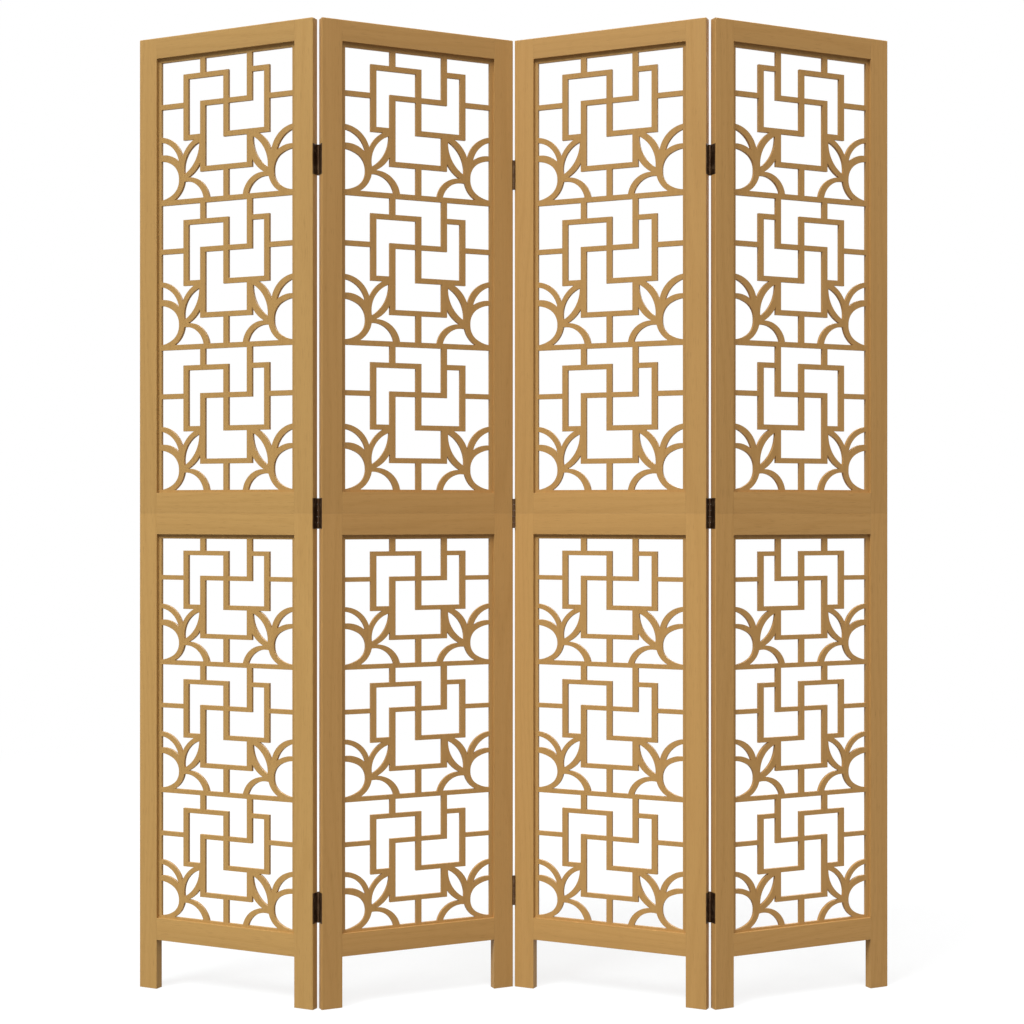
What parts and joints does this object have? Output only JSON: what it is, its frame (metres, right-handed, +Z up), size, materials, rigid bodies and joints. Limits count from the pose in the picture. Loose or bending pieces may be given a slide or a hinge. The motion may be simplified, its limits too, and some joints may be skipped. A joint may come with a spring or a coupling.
{
  "type": "folding room divider",
  "caption": "Free-standing folding wooden screen in a zigzag, its panels filled with traditional geometric and floral fretwork and joined by butt hinges.",
  "frame": {"origin": "on the floor, in the middle of the box round the screen as it stands in its zigzag", "axes": "+X from the first panel to the last, to the right as seen from the front; +Y away from the viewer, from front to rear; +Z up"},
  "size_m": [1.3042, 0.1584, 1.65],
  "materials": {
    "frame_wood": "light brown wood, satin clear lacquer",
    "fretwork_wood": "light brown wood sheet, satin clear lacquer",
    "hinge_bronze": "dark antique bronze",
    "pin_and_screw_bronze": "dark antique bronze"
  },
  "bodies": {
    "panel_1": {"hinge_12_leaves_p1": "hinge_bronze", "p1_bottom_rail": "frame_wood", "p1_dowels": "frame_wood", "p1_lower_lattice": "fretwork_wood", "p1_lower_mid_rail": "frame_wood", "p1_lower_stile_left": "frame_wood", "p1_lower_stile_right": "frame_wood", "p1_screws": "pin_and_screw_bronze", "p1_top_rail": "frame_wood", "p1_upper_lattice": "fretwork_wood", "p1_upper_mid_rail": "frame_wood", "p1_upper_stile_left": "frame_wood", "p1_upper_stile_right": "frame_wood"},
    "panel_2": {"hinge_12_leaves_p2": "hinge_bronze", "hinge_12_pins": "pin_and_screw_bronze", "hinge_23_leaves_p2": "hinge_bronze", "hinge_23_pins": "pin_and_screw_bronze", "p2_bottom_rail": "frame_wood", "p2_dowels": "frame_wood", "p2_lower_lattice": "fretwork_wood", "p2_lower_mid_rail": "frame_wood", "p2_lower_stile_left": "frame_wood", "p2_lower_stile_right": "frame_wood", "p2_screws": "pin_and_screw_bronze", "p2_top_rail": "frame_wood", "p2_upper_lattice": "fretwork_wood", "p2_upper_mid_rail": "frame_wood", "p2_upper_stile_left": "frame_wood", "p2_upper_stile_right": "frame_wood"},
    "panel_3": {"hinge_23_leaves_p3": "hinge_bronze", "hinge_34_leaves_p3": "hinge_bronze", "hinge_34_pins": "pin_and_screw_bronze", "p3_bottom_rail": "frame_wood", "p3_dowels": "frame_wood", "p3_lower_lattice": "fretwork_wood", "p3_lower_mid_rail": "frame_wood", "p3_lower_stile_left": "frame_wood", "p3_lower_stile_right": "frame_wood", "p3_screws": "pin_and_screw_bronze", "p3_top_rail": "frame_wood", "p3_upper_lattice": "fretwork_wood", "p3_upper_mid_rail": "frame_wood", "p3_upper_stile_left": "frame_wood", "p3_upper_stile_right": "frame_wood"},
    "panel_4": {"hinge_34_leaves_p4": "hinge_bronze", "p4_bottom_rail": "frame_wood", "p4_dowels": "frame_wood", "p4_lower_lattice": "fretwork_wood", "p4_lower_mid_rail": "frame_wood", "p4_lower_stile_left": "frame_wood", "p4_lower_stile_right": "frame_wood", "p4_screws": "pin_and_screw_bronze", "p4_top_rail": "frame_wood", "p4_upper_lattice": "fretwork_wood", "p4_upper_mid_rail": "frame_wood", "p4_upper_stile_left": "frame_wood", "p4_upper_stile_right": "frame_wood"}
  },
  "joints": [
    {"name": "fold_12", "type": "hinge", "parent": "panel_2", "child": "panel_1", "pos_m": [-0.32688, -0.06521, 0], "axis": [0, 0, 1], "range_deg": [-130.8, 49.2]},
    {"name": "fold_23", "type": "hinge", "parent": "panel_2", "child": "panel_3", "pos_m": [0, 0.06521, 0], "axis": [0, 0, 1], "range_deg": [-130.8, 49.2]},
    {"name": "fold_34", "type": "hinge", "parent": "panel_3", "child": "panel_4", "pos_m": [0.32688, -0.06521, 0], "axis": [0, 0, 1], "range_deg": [-49.2, 130.8]}
  ]
}
